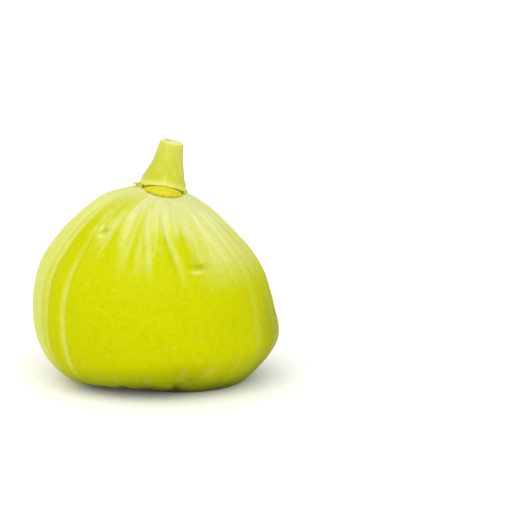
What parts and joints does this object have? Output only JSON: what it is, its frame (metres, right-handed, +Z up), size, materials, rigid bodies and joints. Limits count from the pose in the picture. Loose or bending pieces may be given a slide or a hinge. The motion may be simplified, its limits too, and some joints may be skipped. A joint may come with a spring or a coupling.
{
  "type": "fresh fig",
  "caption": "Whole fresh green fig, broad-based and ribbed, with a short cut stalk, small bracts at the neck and a scaled eye underneath, standing upright.",
  "frame": {"origin": "on the surface that the fig stands on, under the middle of its box", "axes": "+Z up through the fruit towards the stalk, +X towards the side that the fruit has sagged to, -Y the front"},
  "size_m": [0.0544, 0.0492, 0.0541],
  "materials": {
    "fig_skin": "yellow-green waxy fruit skin, satin",
    "fig_stalk": "yellow-green fleshy stalk, satin",
    "dry_bract": "yellow scale with a dried brown margin",
    "eye_scale": "dry tan scale"
  },
  "bodies": {
    "root": {"fruit": "fig_skin", "stalk": "fig_stalk", "basal_bract_front": "dry_bract", "basal_bract_left": "dry_bract", "basal_bract_right": "dry_bract", "eye_scale_1": "eye_scale", "eye_scale_2": "eye_scale", "eye_scale_3": "eye_scale", "eye_scale_4": "eye_scale", "eye_scale_5": "eye_scale"}
  },
  "joints": []
}
